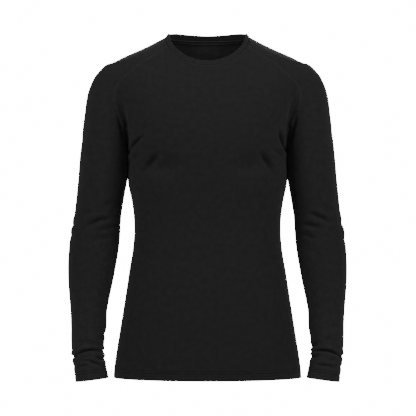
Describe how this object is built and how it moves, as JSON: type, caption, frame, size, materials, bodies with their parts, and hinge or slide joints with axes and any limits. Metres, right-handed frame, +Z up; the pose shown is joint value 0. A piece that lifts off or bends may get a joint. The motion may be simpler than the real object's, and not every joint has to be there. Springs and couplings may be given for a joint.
{
  "type": "base layer top",
  "caption": "Long-sleeved crew-neck base layer top in black jersey with raglan sleeves, filled out in its worn shape, open at neck, hem and cuffs.",
  "frame": {"origin": "midway between the two high shoulder points, at the middle of the neck opening, where the wearer's neck base holds the top up", "axes": "+Z up, the front faces -Y, +X towards the wearer's left sleeve"},
  "size_m": [0.5804, 0.2411, 0.724],
  "materials": {
    "jersey": "matte fine-gauge black jersey with a faint heather",
    "neckband_jersey": "matte black jersey, folded double"
  },
  "bodies": {
    "root": {"front": "jersey", "back": "jersey", "sleeve_left": "jersey", "sleeve_right": "jersey", "neckband": "neckband_jersey"}
  },
  "joints": []
}
